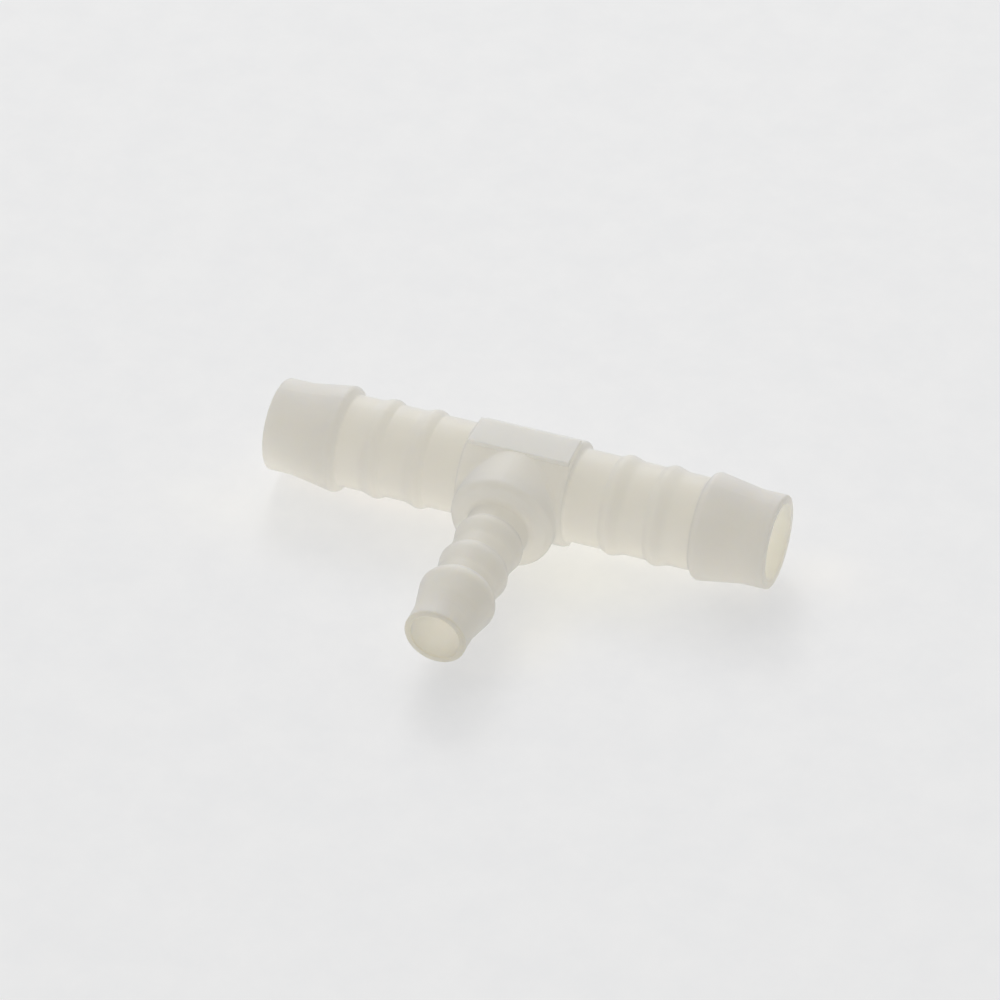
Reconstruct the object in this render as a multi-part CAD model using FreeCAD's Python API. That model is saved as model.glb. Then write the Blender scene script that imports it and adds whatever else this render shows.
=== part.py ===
import FreeCAD, Part
import math
import os

os.makedirs("parts", exist_ok=True)

# Reducing tee for hose, 12 mm run and 8 mm branch, moulded in one piece.
# Frame: origin where the axis of the run crosses the axis of the branch,
# run along X, branch toward -Y, +Z up.  All values in mm.

# ---- driving dimensions -------------------------------------------------
HALF_LENGTH = 34.55       # run axis crossing to each run mouth
BRANCH_REACH = 31.8       # run axis to the branch mouth

# bores
RUN_BORE_R = 5.0
BRANCH_BORE_R = 3.3
RUN_LIP_R = 0.22          # rounding of the inner edge at the run mouths
BRANCH_LIP_R = 0.16       # rounding of the inner edge at the branch mouth

# central body and the boss that carries the branch
BODY_R = 7.02
BODY_HALF = 7.18
BODY_EDGE_R = 0.6
BODY_END_SLOPE = 0.2      # the end face leans outward by this much down to the run
BODY_FOOT_R = 0.4         # concave rounding where the run leaves the body's end
BOSS_R = 6.975
BOSS_FRONT = 9.35         # distance of the boss's front face from the run axis
BOSS_EDGE_R = 1.05
SEAM_R = 0.9              # concave rounding where the boss grows out of the body

# label pads, one on top and one below, left plain
PAD_Z = 7.1
PAD_HALF_WIDTH = 2.5
PAD_HALF_LENGTH = 6.97
PAD_EDGE_R = 0.22

# run spigots (x, r): two low grip ridges and one main barb
RUN_TUBE_R = 6.15
RUN_RIDGE_R = 6.745
RUN_RIDGES = ((12.15, 13.18, 15.12), (18.20, 19.23, 21.15))   # foot, crest, end of the ramp
RUN_RIDGE_ROUND = 1.3
RUN_BARB_FOOT = 24.32
RUN_BARB_CREST = 24.97
RUN_BARB_R = 7.21
RUN_BARB_ROUND = 0.9
RUN_KNEE = 31.17
RUN_KNEE_ROUND = 8.0
RUN_TIP_R = 6.2           # straight pilot at the mouth
RUN_RIM_R = 0.28          # rounding of the outer edge at the mouth

# branch spigot (distance along -Y, r)
BRANCH_TUBE_R = 4.15
BRANCH_RIDGE_R = 4.70
BRANCH_RIDGES = ((12.02, 13.07, 15.28), (17.35, 18.40, 20.94))
BRANCH_RIDGE_ROUND = 1.5
BRANCH_BARB_FOOT = 22.43
BRANCH_BARB_CREST = 23.80
BRANCH_BARB_R = 5.23
BRANCH_BARB_ROUND = 1.7
BRANCH_KNEE = 28.48
BRANCH_KNEE_ROUND = 6.5
BRANCH_TIP_R = 4.12
BRANCH_RIM_R = 0.2

ROOT_R = 0.4              # concave rounding at the foot of every steep face
BRANCH_ROOT_R = 0.7       # concave rounding where the branch leaves the boss
RAMP_ROUND = 2.0          # soft run-out at the end of a ramp


# ---- helpers ------------------------------------------------------------
def unit(a, b):
    dx, dy = b[0] - a[0], b[1] - a[1]
    n = math.hypot(dx, dy)
    return dx / n, dy / n, n


def rounded_edges(points, place):
    """Lines and tangent arcs through points of (s, r, rounding radius)."""
    edges = []
    start = points[0][:2]
    for i in range(1, len(points)):
        b = points[i]
        if i < len(points) - 1 and b[2] > 0:
            a, c = points[i - 1], points[i + 1]
            ux, uy, la = unit(b, a)
            vx, vy, lc = unit(b, c)
            dot = max(-1.0, min(1.0, ux * vx + uy * vy))
            half = math.acos(dot) / 2.0
            cut = b[2] / math.tan(half)
            cut = min(cut, 0.47 * la, 0.47 * lc)
            rad = cut * math.tan(half)
            p = (b[0] + ux * cut, b[1] + uy * cut)
            q = (b[0] + vx * cut, b[1] + vy * cut)
            bx, by = ux + vx, uy + vy
            n = math.hypot(bx, by)
            reach = rad / math.sin(half)
            cx, cy = b[0] + bx / n * reach, b[1] + by / n * reach
            mx, my = cx - bx / n * rad, cy - by / n * rad
            if math.hypot(p[0] - start[0], p[1] - start[1]) > 1e-6:
                edges.append(Part.makeLine(place(start), place(p)))
            edges.append(Part.Arc(place(p), place((mx, my)), place(q)).toShape())
            start = q
        else:
            edges.append(Part.makeLine(place(start), place(b[:2])))
            start = b[:2]
    return edges


def revolved(points, place, origin, axis):
    """Solid of revolution of the profile; both its ends lie on the axis."""
    edges = rounded_edges(points, place)
    edges.append(Part.makeLine(place(points[-1][:2]), place(points[0][:2])))
    face = Part.Face(Part.Wire(edges))
    return face.revolve(origin, axis, 360)


V = FreeCAD.Vector
ORIGIN = V(0, 0, 0)
X_AXIS = V(1, 0, 0)
Y_AXIS = V(0, 1, 0)


# ---- run: body, tubes, ridges and barbs ---------------------------------
def run_half():
    pts = [(BODY_HALF, BODY_R, BODY_EDGE_R), (BODY_HALF + BODY_END_SLOPE, RUN_TUBE_R, BODY_FOOT_R)]
    for foot, crest, end in RUN_RIDGES:
        pts += [(foot, RUN_TUBE_R, ROOT_R), (crest, RUN_RIDGE_R, RUN_RIDGE_ROUND),
                (end, RUN_TUBE_R, RAMP_ROUND)]
    pts += [(RUN_BARB_FOOT, RUN_TUBE_R, ROOT_R),
            (RUN_BARB_CREST, RUN_BARB_R, RUN_BARB_ROUND),
            (RUN_KNEE, RUN_TIP_R, RUN_KNEE_ROUND),
            (HALF_LENGTH, RUN_TIP_R, RUN_RIM_R),
            (HALF_LENGTH, 0.0, 0)]
    return pts


half = run_half()
full = [(-s, r, q) for s, r, q in reversed(half)] + half
run_outer = revolved(full, lambda p: V(p[0], 0, p[1]), ORIGIN, X_AXIS)

# ---- boss and branch ----------------------------------------------------
branch = [(0.0, 0.0, 0), (0.0, BOSS_R, 0), (BOSS_FRONT, BOSS_R, BOSS_EDGE_R),
          (BOSS_FRONT + 0.05, BRANCH_TUBE_R, BRANCH_ROOT_R)]
for foot, crest, end in BRANCH_RIDGES:
    branch += [(foot, BRANCH_TUBE_R, ROOT_R), (crest, BRANCH_RIDGE_R, BRANCH_RIDGE_ROUND),
               (end, BRANCH_TUBE_R, RAMP_ROUND)]
branch += [(BRANCH_BARB_FOOT, BRANCH_TUBE_R, ROOT_R),
           (BRANCH_BARB_CREST, BRANCH_BARB_R, BRANCH_BARB_ROUND),
           (BRANCH_KNEE, BRANCH_TIP_R, BRANCH_KNEE_ROUND),
           (BRANCH_REACH, BRANCH_TIP_R, BRANCH_RIM_R),
           (BRANCH_REACH, 0.0, 0)]
branch_outer = revolved(branch, lambda p: V(0, -p[0], p[1]), ORIGIN, Y_AXIS)

outer = run_outer.fuse(branch_outer)

# concave rounding along the closed seam between body and boss
seam = []
for e in outer.Edges:
    bb = e.BoundBox
    if bb.YMax < -0.5 and bb.YMin > -BOSS_R - 1.0 and abs(bb.XMax) < BODY_HALF \
            and e.Curve.TypeId != "Part::GeomCircle" and e.Curve.TypeId != "Part::GeomLine":
        seam.append(e)
outer = outer.makeFillet(SEAM_R, seam)

# ---- label pads ---------------------------------------------------------
pad = Part.makeBox(2 * PAD_HALF_LENGTH, 2 * PAD_HALF_WIDTH, 2 * PAD_Z,
                   V(-PAD_HALF_LENGTH, -PAD_HALF_WIDTH, -PAD_Z))
pad_edges = [e for e in pad.Edges
             if abs(abs(e.BoundBox.Center.z) - PAD_Z) < 1e-6]
pad = pad.makeFillet(PAD_EDGE_R, pad_edges)
outer = outer.fuse(pad)

# ---- bores --------------------------------------------------------------
run_bore = Part.makeCylinder(RUN_BORE_R, 2 * HALF_LENGTH + 4,
                             V(-HALF_LENGTH - 2, 0, 0), X_AXIS)
branch_bore = Part.makeCylinder(BRANCH_BORE_R, BRANCH_REACH + 2, ORIGIN, V(0, -1, 0))
tee = outer.cut(run_bore.fuse(branch_bore))

# rounded inner edges at the three mouths
lips_run = [e for e in tee.Edges if e.Curve.TypeId == "Part::GeomCircle"
            and abs(e.Curve.Radius - RUN_BORE_R) < 1e-6
            and abs(abs(e.BoundBox.Center.x) - HALF_LENGTH) < 1e-4]
tee = tee.makeFillet(RUN_LIP_R, lips_run)
lips_branch = [e for e in tee.Edges if e.Curve.TypeId == "Part::GeomCircle"
               and abs(e.Curve.Radius - BRANCH_BORE_R) < 1e-6
               and abs(e.BoundBox.Center.y + BRANCH_REACH) < 1e-4]
tee = tee.makeFillet(BRANCH_LIP_R, lips_branch)

tee = tee.removeSplitter()
shape = tee.Solids[0]
print("solids", len(tee.Solids), "valid", shape.isValid(), "volume", round(shape.Volume, 1),
      "faces", len(shape.Faces), "seam edges", len(seam), "lips", len(lips_run), len(lips_branch))
print("bbox", shape.BoundBox, "com", shape.CenterOfMass)
shape.exportStep("parts/tee_body.step")
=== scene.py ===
import math

import bpy
from mathutils import Matrix, Vector


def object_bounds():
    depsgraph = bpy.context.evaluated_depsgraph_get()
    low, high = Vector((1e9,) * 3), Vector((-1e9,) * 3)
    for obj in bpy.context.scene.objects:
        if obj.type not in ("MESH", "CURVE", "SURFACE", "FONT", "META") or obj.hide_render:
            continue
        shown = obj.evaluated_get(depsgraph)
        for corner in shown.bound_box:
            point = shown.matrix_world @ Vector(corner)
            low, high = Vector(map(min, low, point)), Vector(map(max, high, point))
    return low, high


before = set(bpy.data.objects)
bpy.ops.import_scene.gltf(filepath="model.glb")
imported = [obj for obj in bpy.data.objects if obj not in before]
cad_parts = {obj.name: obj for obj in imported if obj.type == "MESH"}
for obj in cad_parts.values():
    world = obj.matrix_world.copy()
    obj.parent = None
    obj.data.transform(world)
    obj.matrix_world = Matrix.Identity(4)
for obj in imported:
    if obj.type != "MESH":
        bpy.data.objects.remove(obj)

cad_lo, cad_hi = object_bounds()

# strengths of the floor's glow, the sky and the lamps
LIGHT = {
    "floor": 0.543,      # pale glow of the floor
    "uni": 0.370,        # even part of the sky
    "back": 0.644,       # behind the object
    "side": 0.892,       # high on the left
    "key": 2.35,         # soft lamp behind on the left, watts
    "glow": 1.0,         # scale of the painted patches of light and shadow on the floor
    "bore_front": 0.00027,    # light that gathers in the run's bore, watts
    "bore_down": 0.00079,
    "bore_branch": 0.0001,    # the same in the branch's bore
}
KEY_SIZE = 0.35
KEY_AZ, KEY_EL = math.radians(25.0), math.radians(40.0)     # from +Y toward -X, above the floor

# painted light and shadow on the floor: patches that stand for the light coming through the object, placed by comparing
# with the photograph: x, y, half widths (mm) and colour (less than none is painted contact shadow, where its contact
# shadow is darker than the lamps make it)
PAINTED_FLOOR_PATCHES = [(11.0, -8.0, 8.0, 5.0, (0.055, 0.047, 0.009)),
        (9.5, -20.0, 3.5, 5.0, (0.042, 0.035, 0.013)),
        (-10.0, -7.0, 12.0, 5.5, (0.018, 0.012, -0.003)),
        (-37.0, -11.0, 8.0, 5.0, (0.029, 0.025, 0.013)),
        (40.0, 4.0, 4.0, 3.0, (0.034, 0.027, 0.016)),
        (15.0, -1.5, 9.0, 1.5, (0.022, 0.020, 0.012)),
        (-20.0, -2.2, 9.0, 1.5, (0.030, 0.018, 0.008)),
        (33.0, -7.5, 4.0, 3.6, (-0.036, -0.036, -0.036)),
        (2.0, -33.0, 3.2, 4.2, (-0.040, -0.038, -0.038)),
        (9.0, -38.5, 3.0, 3.2, (-0.018, -0.018, -0.018)),
        (1.2, -19.0, 2.4, 7.5, (-0.030, -0.030, -0.030))]


# ---------------------------------------------------------------------------
# small helpers for node materials
# ---------------------------------------------------------------------------
def material(name):
    m = bpy.data.materials.new(name)
    m.use_nodes = True
    nt = m.node_tree
    nt.nodes.clear()
    out = nt.nodes.new("ShaderNodeOutputMaterial")
    return m, nt, out


def add(nt, kind, **inputs):
    n = nt.nodes.new(kind)
    for k, v in inputs.items():
        n.inputs[k.replace("_", " ")].default_value = v
    return n


def calc(nt, op, a, b=None, clamp=False):
    """A math node on numbers or sockets; returns its output socket."""
    n = nt.nodes.new("ShaderNodeMath")
    n.operation = op
    n.use_clamp = clamp
    for i, v in enumerate((a, b)):
        if v is None:
            continue
        if isinstance(v, (int, float)):
            n.inputs[i].default_value = v
        else:
            nt.links.new(v, n.inputs[i])
    return n.outputs[0]


def graph(nt, value, length, points, top):
    """Piecewise straight curve of value (0..length) through points, as a colour scaled by top."""
    s = calc(nt, "DIVIDE", value, length, True)
    r = nt.nodes.new("ShaderNodeValToRGB")
    r.color_ramp.interpolation = "LINEAR"
    el = r.color_ramp.elements
    while len(el) > 1:
        el.remove(el[-1])
    el[0].position = points[0][0] / length
    el[0].color = (points[0][1] / top,) * 3 + (1,)
    for p, v in points[1:]:
        e = el.new(p / length)
        e.color = (v / top,) * 3 + (1,)
    nt.links.new(s, r.inputs["Fac"])
    return r.outputs["Color"]


def smooth_band(nt, value, lo, hi):
    """0 below lo, 1 above hi, straight between."""
    return calc(nt, "DIVIDE", calc(nt, "SUBTRACT", value, lo), hi - lo, True)


# ---------------------------------------------------------------------------
# milky, undyed plastic
# ---------------------------------------------------------------------------
# density along the run and along the branch: (distance from the crossing in mm, density as mm of plastic)
# set by comparing with the photograph; it isn't the solid's own wall, which is 0.8 to 2.2 mm. It is partly painted
# shade and light:
# the dense bands just past the ridges' crests are painted shade, and the clear stretches at the feet and at the
# branch's root are painted light in the creases
RUN_DENSITY_AND_SHADE = [(0, 2.5), (5.2, 2.4), (6.6, 1.6), (7.5, 1.65), (12.8, 1.6), (13.2, 1.5), (14.0, 2.6), (14.4, 2.8),
            (15.1, 1.6), (18.9, 1.6), (19.3, 1.5), (20.1, 2.8), (20.5, 3.0), (21.1, 1.5), (24.3, 1.25),
            (24.6, 1.4), (25.0, 2.4), (25.6, 4.2), (27.0, 3.9), (31.2, 3.6), (33.6, 4.6), (34.3, 4.2), (34.55, 4.2)]
BRANCH_DENSITY_AND_SHADE = [(0, 3.6), (8.0, 3.4), (9.3, 1.6), (9.6, 0.8), (12.0, 0.9), (12.9, 1.6), (13.4, 4.0),
               (14.5, 4.0), (15.1, 1.1), (17.4, 1.0), (18.3, 1.6), (18.8, 4.2), (20.2, 4.2), (20.8, 1.1),
               (22.3, 1.2), (22.8, 3.4), (23.6, 5.8), (25.5, 4.3), (28.5, 4.6), (31.0, 6.0),
               (31.8, 6.0)]
# share of the skin's gloss that is left, along the run and along the branch
RUN_GLOSS = [(0, 1.0), (7.2, 1.0), (7.8, 0.82), (24.4, 0.82), (25.2, 0.7), (27.0, 0.6), (31.0, 0.5), (34.55, 0.5)]
BRANCH_GLOSS = [(0, 1.0), (12.6, 1.0), (13.0, 0.7), (14.8, 0.7), (15.2, 1.0), (18.4, 1.0), (18.8, 0.7), (20.4, 0.7),
                (20.8, 1.0), (22.6, 1.0), (23.0, 0.65), (24.6, 0.65), (25.4, 0.8), (27.0, 0.7), (29.0, 0.5), (31.8, 0.5)]
PAD_WALL = 6.0
PAD_GREY_TONE = (0.915, 0.930, 0.965)   # the pads are tinted greyer and a little darker
PAD_SIDE_LIGHT = 0.9             # painted light: the low side faces of the pads are made clearer, lightening the dark line under the pads' edges
# the next four are painted shade and painted light, fitted to the photograph's shading; they have no counterpart in the
# shape
END_FACE_SHADE = 0.1             # painted shade and light at the body's +X end face, beside the pad: denser by this much high up, clearer lower down
LOW_END_LIGHT = 0.6              # painted light: share of the density that is taken off lower down at that end
MINUS_X_BARB_LIGHT = 0.15            # painted light: the barb at -X is made clearer than the one at +X
BARB_TOP_SHADE = 0.4             # painted shade: the tops of the barbs are made denser
# painted shade: greyer, darker colour on the tops of the barbs
BARB_TOP_SHADE_TONE = (0.938, 0.940, 0.960)
RIM_TONE = (0.985, 0.970, 0.925)    # the cut rims look warmer
CLEARNESS = 4.0            # density that halves the light
THIN = (0.976, 0.972, 0.957)
THICK = (0.935, 0.920, 0.878)
BORE = (0.995, 0.984, 0.953)     # painted tint: what is seen in the bores is made warmer, for light that has come through more stock


def natural_plastic():
    m, nt, out = material("natural_plastic")
    link = nt.links.new
    coord = nt.nodes.new("ShaderNodeTexCoord")
    sep = nt.nodes.new("ShaderNodeSeparateXYZ")
    link(coord.outputs["Object"], sep.inputs[0])

    # density at this place, partly real stock and partly painted shade and light
    along = calc(nt, "MULTIPLY", calc(nt, "ABSOLUTE", sep.outputs["X"]), 1000.0)
    out_y = calc(nt, "MULTIPLY", sep.outputs["Y"], -1000.0)
    on_branch = calc(nt, "MULTIPLY", smooth_band(nt, out_y, 6.0, 7.5),
                     calc(nt, "DIVIDE", calc(nt, "SUBTRACT", 8.0, along), 0.5, True))

    def by_place(run, branch, top):
        both = nt.nodes.new("ShaderNodeMix")
        both.data_type = "RGBA"
        link(on_branch, both.inputs["Factor"])
        link(graph(nt, along, 34.55, run, top), both.inputs["A"])
        link(graph(nt, out_y, 31.8, branch, top), both.inputs["B"])
        bw = nt.nodes.new("ShaderNodeRGBToBW")
        link(both.outputs["Result"], bw.inputs[0])
        return calc(nt, "MULTIPLY", bw.outputs[0], top)

    density_and_shade = by_place(RUN_DENSITY_AND_SHADE, BRANCH_DENSITY_AND_SHADE, 8.0)

    # the plain pad on top and below is thick stock too
    up_z = calc(nt, "MULTIPLY", calc(nt, "ABSOLUTE", sep.outputs["Z"]), 1000.0)
    wide_y = calc(nt, "MULTIPLY", calc(nt, "ABSOLUTE", sep.outputs["Y"]), 1000.0)
    on_pad = calc(nt, "MULTIPLY", smooth_band(nt, up_z, 7.04, 7.09),
                  calc(nt, "MULTIPLY", calc(nt, "LESS_THAN", along, 7.1), calc(nt, "LESS_THAN", wide_y, 2.7)))
    density_and_shade = calc(nt, "ADD", density_and_shade, calc(nt, "MULTIPLY", on_pad, calc(nt, "SUBTRACT", PAD_WALL, density_and_shade)))
    # painted light on the pads' low side faces
    painted_pad_side_light = calc(nt, "MULTIPLY", calc(nt, "MULTIPLY", smooth_band(nt, wide_y, 2.42, 2.47),
                                         calc(nt, "LESS_THAN", wide_y, 2.6)),
                    calc(nt, "MULTIPLY", calc(nt, "GREATER_THAN", up_z, 6.6), calc(nt, "LESS_THAN", along, 7.1)))
    density_and_shade = calc(nt, "ADD", density_and_shade, calc(nt, "MULTIPLY", painted_pad_side_light, calc(nt, "SUBTRACT", PAD_SIDE_LIGHT, density_and_shade)))

    # painted shade and light at the body's end face at +X, and painted light on the clearer barb at -X
    signed_x = calc(nt, "MULTIPLY", sep.outputs["X"], 1000.0)
    painted_end_face = calc(nt, "MULTIPLY", smooth_band(nt, signed_x, 6.5, 6.9), smooth_band(nt, signed_x, 8.3, 7.5))
    signed_z = calc(nt, "MULTIPLY", sep.outputs["Z"], 1000.0)
    high = calc(nt, "MULTIPLY", smooth_band(nt, signed_z, 0.5, 4.5), smooth_band(nt, signed_z, 7.0, 6.3))
    density_and_shade = calc(nt, "ADD", density_and_shade, calc(nt, "MULTIPLY", painted_end_face, calc(
        nt, "SUBTRACT", calc(nt, "MULTIPLY", high, END_FACE_SHADE + 1.0), 1.0)))
    painted_low_end_light = calc(nt, "MULTIPLY", calc(nt, "MULTIPLY", smooth_band(nt, signed_x, 4.8, 6.2),
                                        smooth_band(nt, signed_x, 8.3, 7.5)), smooth_band(nt, signed_z, 4.5, 1.0))
    density_and_shade = calc(nt, "MULTIPLY", density_and_shade, calc(nt, "SUBTRACT", 1.0, calc(nt, "MULTIPLY", painted_low_end_light, LOW_END_LIGHT)))
    clearer = calc(nt, "MULTIPLY", smooth_band(nt, calc(nt, "MULTIPLY", signed_x, -1.0), 24.4, 25.4), MINUS_X_BARB_LIGHT)
    density_and_shade = calc(nt, "MULTIPLY", density_and_shade, calc(nt, "SUBTRACT", 1.0, clearer))
    # painted shade on the tops of the barbs and of the branch's tip
    painted_barb_top_shade = calc(nt, "MULTIPLY", smooth_band(nt, along, 24.6, 25.6),
                    calc(nt, "MULTIPLY", smooth_band(nt, out_y, 4.0, 0.5), smooth_band(nt, signed_z, 2.0, 5.5)))
    painted_tip_top_shade = calc(nt, "MULTIPLY", smooth_band(nt, out_y, 27.0, 29.5), smooth_band(nt, signed_z, 2.6, 4.0))
    painted_barb_top_shade = calc(nt, "ADD", calc(nt, "MULTIPLY", painted_barb_top_shade, calc(nt, "SUBTRACT", 1.0, on_branch)),
                    calc(nt, "MULTIPLY", painted_tip_top_shade, on_branch))
    density_and_shade = calc(nt, "MULTIPLY", density_and_shade, calc(nt, "ADD", 1.0, calc(nt, "MULTIPLY", painted_barb_top_shade, BARB_TOP_SHADE)))

    # inside the bores
    square_x = calc(nt, "MULTIPLY", along, along)
    square_y = calc(nt, "MULTIPLY", out_y, out_y)
    square_z = calc(nt, "MULTIPLY", up_z, up_z)
    in_run = calc(nt, "LESS_THAN", calc(nt, "ADD", square_y, square_z), 5.15 ** 2)
    in_branch = calc(nt, "MULTIPLY", calc(nt, "LESS_THAN", calc(nt, "ADD", square_x, square_z), 3.42 ** 2),
                     calc(nt, "GREATER_THAN", out_y, 3.0))
    inside = calc(nt, "MAXIMUM", in_run, in_branch)

    # faint cloudy flow of the melt: a little clearer in places
    flow = add(nt, "ShaderNodeTexNoise", Scale=150.0, Detail=3.0, Roughness=0.55)
    link(coord.outputs["Object"], flow.inputs["Vector"])
    cloud = nt.nodes.new("ShaderNodeMapRange")
    cloud.inputs["From Min"].default_value = 0.3
    cloud.inputs["From Max"].default_value = 0.7
    cloud.inputs["To Min"].default_value = 0.9
    cloud.inputs["To Max"].default_value = 1.1
    link(flow.outputs["Fac"], cloud.inputs["Value"])
    density_and_shade = calc(nt, "MULTIPLY", density_and_shade, cloud.outputs["Result"])

    # share of the light that a wall lets through
    passed = calc(nt, "DIVIDE", 1.0, calc(nt, "ADD", 1.0, calc(nt, "DIVIDE", density_and_shade, CLEARNESS)))
    share = calc(nt, "DIVIDE", calc(nt, "MULTIPLY", 2.0, passed), calc(nt, "ADD", 1.0, passed))

    # colour: thicker stock is a little warmer and darker, so the painted shade in the density darkens the colour too
    how_thick = nt.nodes.new("ShaderNodeMapRange")
    how_thick.inputs["From Min"].default_value = 0.8
    how_thick.inputs["From Max"].default_value = 6.5
    link(density_and_shade, how_thick.inputs["Value"])
    tone = nt.nodes.new("ShaderNodeValToRGB")
    tone.color_ramp.elements[0].color = THIN + (1,)
    tone.color_ramp.elements[1].color = THICK + (1,)
    link(how_thick.outputs["Result"], tone.inputs["Fac"])
    warmer = nt.nodes.new("ShaderNodeMix")
    warmer.data_type = "RGBA"
    warmer.blend_type = "MULTIPLY"
    link(inside, warmer.inputs["Factor"])
    link(tone.outputs["Color"], warmer.inputs["A"])
    warmer.inputs["B"].default_value = BORE + (1,)
    pad_grey_tint = nt.nodes.new("ShaderNodeMix")
    pad_grey_tint.data_type = "RGBA"
    pad_grey_tint.blend_type = "MULTIPLY"
    link(on_pad, pad_grey_tint.inputs["Factor"])
    link(warmer.outputs["Result"], pad_grey_tint.inputs["A"])
    pad_grey_tint.inputs["B"].default_value = PAD_GREY_TONE + (1,)
    # the cut rims at the three mouths are matt
    rim = calc(nt, "MAXIMUM", smooth_band(nt, along, 34.1, 34.4),
               calc(nt, "MULTIPLY", smooth_band(nt, out_y, 31.4, 31.65), calc(nt, "LESS_THAN", along, 8.0)))
    # painted shade on the tops of the barbs
    barb_top_shade_tint = nt.nodes.new("ShaderNodeMix")
    barb_top_shade_tint.data_type = "RGBA"
    barb_top_shade_tint.blend_type = "MULTIPLY"
    link(painted_barb_top_shade, barb_top_shade_tint.inputs["Factor"])
    link(pad_grey_tint.outputs["Result"], barb_top_shade_tint.inputs["A"])
    barb_top_shade_tint.inputs["B"].default_value = BARB_TOP_SHADE_TONE + (1,)
    rims = nt.nodes.new("ShaderNodeMix")
    rims.data_type = "RGBA"
    rims.blend_type = "MULTIPLY"
    link(calc(nt, "MULTIPLY", rim, calc(nt, "ADD", 0.35, calc(nt, "MULTIPLY", on_branch, 0.65))), rims.inputs["Factor"])
    link(barb_top_shade_tint.outputs["Result"], rims.inputs["A"])
    rims.inputs["B"].default_value = RIM_TONE + (1,)
    colour = rims.outputs["Result"]

    # satin moulded skin: patches of roughness and a very fine grain
    patch = add(nt, "ShaderNodeTexNoise", Scale=420.0, Detail=4.0, Roughness=0.6)
    link(coord.outputs["Object"], patch.inputs["Vector"])
    rough = nt.nodes.new("ShaderNodeMapRange")
    rough.inputs["To Min"].default_value = 0.50
    rough.inputs["To Max"].default_value = 0.66
    link(patch.outputs["Fac"], rough.inputs["Value"])
    grain = add(nt, "ShaderNodeTexNoise", Scale=4200.0, Detail=2.0, Roughness=0.5)
    link(coord.outputs["Object"], grain.inputs["Vector"])
    bump = nt.nodes.new("ShaderNodeBump")
    bump.inputs["Strength"].default_value = 0.12
    bump.inputs["Distance"].default_value = 0.00004
    link(grain.outputs["Fac"], bump.inputs["Height"])

    b = nt.nodes.new("ShaderNodeBsdfPrincipled")
    b.subsurface_method = "RANDOM_WALK"
    b.inputs["Subsurface Weight"].default_value = 1.0
    b.inputs["Subsurface Radius"].default_value = (1.0, 0.92, 0.74)
    b.inputs["Subsurface Scale"].default_value = 0.001
    b.inputs["IOR"].default_value = 1.52
    b.inputs["Specular IOR Level"].default_value = 0.0
    link(colour, b.inputs["Base Color"])
    link(rough.outputs["Result"], b.inputs["Roughness"])
    link(bump.outputs["Normal"], b.inputs["Normal"])

    through = nt.nodes.new("ShaderNodeBsdfTranslucent")
    link(colour, through.inputs["Color"])
    link(bump.outputs["Normal"], through.inputs["Normal"])
    milky = nt.nodes.new("ShaderNodeMixShader")
    link(share, milky.inputs["Fac"])
    link(b.outputs["BSDF"], milky.inputs[1])
    link(through.outputs["BSDF"], milky.inputs[2])

    # gloss of the skin, stronger at a slant
    gloss = nt.nodes.new("ShaderNodeBsdfGlossy")
    link(rough.outputs["Result"], gloss.inputs["Roughness"])
    link(bump.outputs["Normal"], gloss.inputs["Normal"])
    slant = nt.nodes.new("ShaderNodeLayerWeight")
    slant.inputs["Blend"].default_value = 0.5
    link(bump.outputs["Normal"], slant.inputs["Normal"])
    shine = calc(nt, "ADD", 0.036, calc(nt, "MULTIPLY", calc(nt, "POWER", slant.outputs["Facing"], 2.6), 0.9))
    shine = calc(nt, "MULTIPLY", shine, by_place(RUN_GLOSS, BRANCH_GLOSS, 1.0))
    shine = calc(nt, "MULTIPLY", shine, calc(nt, "SUBTRACT", 1.0, calc(nt, "MULTIPLY", rim, 0.7)))
    top = nt.nodes.new("ShaderNodeMixShader")
    link(shine, top.inputs["Fac"])
    link(milky.outputs["Shader"], top.inputs[1])
    link(gloss.outputs["BSDF"], top.inputs[2])
    link(top.outputs["Shader"], out.inputs["Surface"])
    return m


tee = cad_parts["tee_body"]
plastic = natural_plastic()
for s in tee.material_slots:
    s.material = plastic


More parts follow.
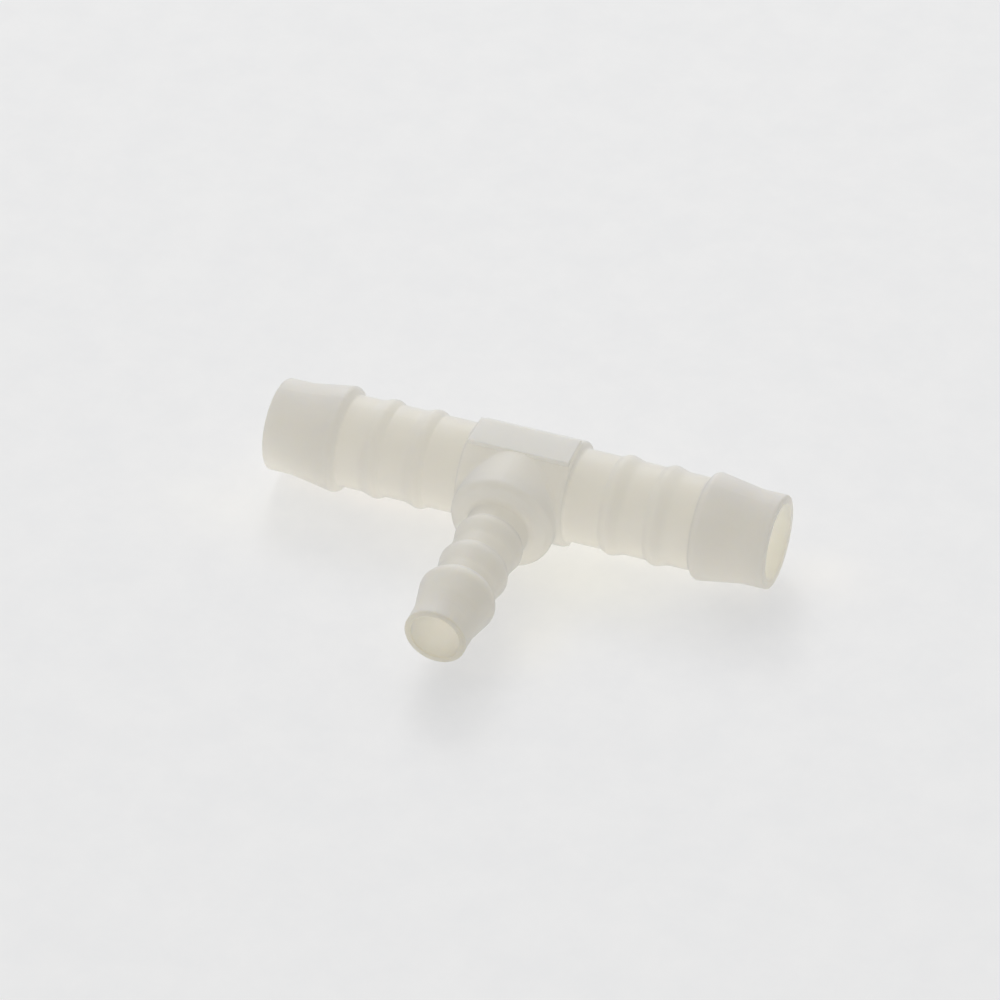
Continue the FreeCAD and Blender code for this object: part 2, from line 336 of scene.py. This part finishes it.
# ---------------------------------------------------------------------------
# floor: a pale sheet with a faint light of its own
# ---------------------------------------------------------------------------
def floor_material():
    m, nt, out = material("floor_white")
    link = nt.links.new
    b = nt.nodes.new("ShaderNodeBsdfPrincipled")
    link(b.outputs["BSDF"], out.inputs["Surface"])
    coord = nt.nodes.new("ShaderNodeTexCoord")
    n = add(nt, "ShaderNodeTexNoise", Scale=130.0, Detail=3.0, Roughness=0.65)
    link(coord.outputs["Object"], n.inputs["Vector"])
    ramp = nt.nodes.new("ShaderNodeValToRGB")
    ramp.color_ramp.elements[0].position = 0.35
    ramp.color_ramp.elements[0].color = (0.337, 0.339, 0.344, 1)
    ramp.color_ramp.elements[1].position = 0.65
    ramp.color_ramp.elements[1].color = (0.360, 0.360, 0.361, 1)
    link(n.outputs["Fac"], ramp.inputs["Fac"])
    link(ramp.outputs["Color"], b.inputs["Base Color"])
    b.inputs["Roughness"].default_value = 0.9
    b.inputs["Specular IOR Level"].default_value = 0.05

    # even glow, and painted patches of warm light where light comes through the object onto the floor, with painted
    # shadow near the +X barb and the branch
    total = (LIGHT["floor"],) * 3
    for px, py, wide, deep, tint in PAINTED_FLOOR_PATCHES:
        off = nt.nodes.new("ShaderNodeVectorMath")     # distance from the patch's middle, in half widths
        off.operation = "MULTIPLY_ADD"
        link(coord.outputs["Object"], off.inputs[0])
        off.inputs[1].default_value = (1000.0 / wide, 1000.0 / deep, 0.0)
        off.inputs[2].default_value = (-px / wide, -py / deep, 0.0)
        far = nt.nodes.new("ShaderNodeVectorMath")
        far.operation = "DOT_PRODUCT"
        link(off.outputs["Vector"], far.inputs[0])
        link(off.outputs["Vector"], far.inputs[1])
        patch = calc(nt, "POWER", math.exp(-0.5), far.outputs["Value"])
        more = nt.nodes.new("ShaderNodeVectorMath")
        more.operation = "MULTIPLY_ADD"
        link(patch, more.inputs[0])
        more.inputs[1].default_value = [c * LIGHT["glow"] for c in tint]
        if isinstance(total, tuple):
            more.inputs[2].default_value = total
        else:
            link(total, more.inputs[2])
        total = more.outputs[0]
    link(total, b.inputs["Emission Color"])
    b.inputs["Emission Strength"].default_value = 1.0
    return m


FLOOR_Z = cad_lo.z
bpy.ops.mesh.primitive_plane_add(size=6.0, location=(0, 0, FLOOR_Z))
floor = bpy.context.object
floor.name = "floor"
floor.data.materials.append(floor_material())

# ---------------------------------------------------------------------------
# light
# ---------------------------------------------------------------------------
world = bpy.data.worlds.new("studio")
bpy.context.scene.world = world
world.use_nodes = True
wt = world.node_tree
sky = wt.nodes["Background"]
sky.inputs["Color"].default_value = (1, 1, 1, 1)
sky_coord = wt.nodes.new("ShaderNodeTexCoord")
total = LIGHT["uni"]
for name, aim, power in (("back", (0, 1, 0.35), 3.0), ("side", (-0.565, 0.1, 0.819), 8.0)):
    dot = wt.nodes.new("ShaderNodeVectorMath")
    dot.operation = "DOT_PRODUCT"
    dot.inputs[1].default_value = Vector(aim).normalized()
    wt.links.new(sky_coord.outputs["Generated"], dot.inputs[0])
    lobe = calc(wt, "POWER", calc(wt, "MAXIMUM", dot.outputs["Value"], 0.0), power)
    total = calc(wt, "ADD", calc(wt, "MULTIPLY", lobe, LIGHT[name]), total)
wt.links.new(total, sky.inputs["Strength"])


def area(name, loc, target, size, watts, color=(1, 1, 1)):
    d = bpy.data.lights.new(name, "AREA")
    d.shape = "DISK"
    d.size = size
    d.energy = watts
    d.color = color
    o = bpy.data.objects.new(name, d)
    bpy.context.scene.collection.objects.link(o)
    o.location = loc
    o.rotation_mode = "QUATERNION"
    o.rotation_quaternion = (Vector(target) - Vector(loc)).to_track_quat("-Z", "Y")
    return o


area("key_back", (-math.sin(KEY_AZ) * math.cos(KEY_EL), math.cos(KEY_AZ) * math.cos(KEY_EL),
                  math.sin(KEY_EL)), (0, 0, 0), KEY_SIZE, LIGHT["key"])


def strip(name, length, width, at, aim, along, watts, color):
    """A weak strip of light inside a bore, not seen itself: it stands for the light that the
    milky walls pass on to each other many times."""
    d = bpy.data.lights.new(name, "AREA")
    d.shape = "RECTANGLE"
    d.size = length
    d.size_y = width
    d.energy = watts
    d.color = color
    o = bpy.data.objects.new(name, d)
    bpy.context.scene.collection.objects.link(o)
    z = -Vector(aim).normalized()
    x = Vector(along).normalized()
    y = z.cross(x)
    place = Matrix.Identity(4)
    for i in range(3):
        place[i][0], place[i][1], place[i][2], place[i][3] = x[i], y[i], z[i], at[i]
    o.matrix_world = place
    o.visible_camera = False
    return o


strip("bore_front", 0.066, 0.005, (0, 0, 0), (0, -0.79, -0.62), (1, 0, 0), LIGHT["bore_front"], (0.80, 0.81, 0.99))
strip("bore_down", 0.066, 0.005, (0, 0, 0), (0, 0, -1), (1, 0, 0), LIGHT["bore_down"], (1.0, 0.91, 0.65))
strip("bore_branch", 0.022, 0.003, (0, -0.0195, 0), (0, 0, -1), (0, 1, 0), LIGHT["bore_branch"], (1.0, 0.92, 0.88))

# ---------------------------------------------------------------------------
# camera
# ---------------------------------------------------------------------------
AZ, EL, ROLL = math.radians(21.7076), math.radians(40.6727), math.radians(1.0302)
FOCAL_PX = 4556.125
DIST = 4280.828 * 0.138e-3
U0, V0 = 525.178, 482.027

back = Vector((math.sin(AZ) * math.cos(EL), -math.cos(AZ) * math.cos(EL), math.sin(EL)))
fw = -back
right = Vector((math.cos(AZ), math.sin(AZ), 0.0))
down = fw.cross(right)
cx = math.cos(ROLL) * right + math.sin(ROLL) * down
cy = -math.sin(ROLL) * right + math.cos(ROLL) * down
t = Vector(((U0 - 500) / FOCAL_PX * DIST, (V0 - 500) / FOCAL_PX * DIST, DIST))
loc = -(cx * t.x + cy * t.y + fw * t.z)
cam_data = bpy.data.cameras.new("camera")
cam = bpy.data.objects.new("camera", cam_data)
bpy.context.scene.collection.objects.link(cam)
m = Matrix.Identity(4)
for i in range(3):
    m[i][0], m[i][1], m[i][2], m[i][3] = cx[i], -cy[i], back[i], loc[i]
cam.matrix_world = m
cam_data.sensor_width = 36.0
cam_data.lens = FOCAL_PX / 1000.0 * 36.0
cam_data.clip_start = 0.02
cam_data.clip_end = 20.0
bpy.context.scene.camera = cam

bpy.context.scene.view_settings.view_transform = "Standard"
bpy.context.scene.view_settings.look = "None"
# light passes through the milky walls many times before it leaves
bounce = bpy.context.scene.cycles
bounce.max_bounces = 24
bounce.diffuse_bounces = 24
bounce.glossy_bounces = 4
bounce.transmission_bounces = 24
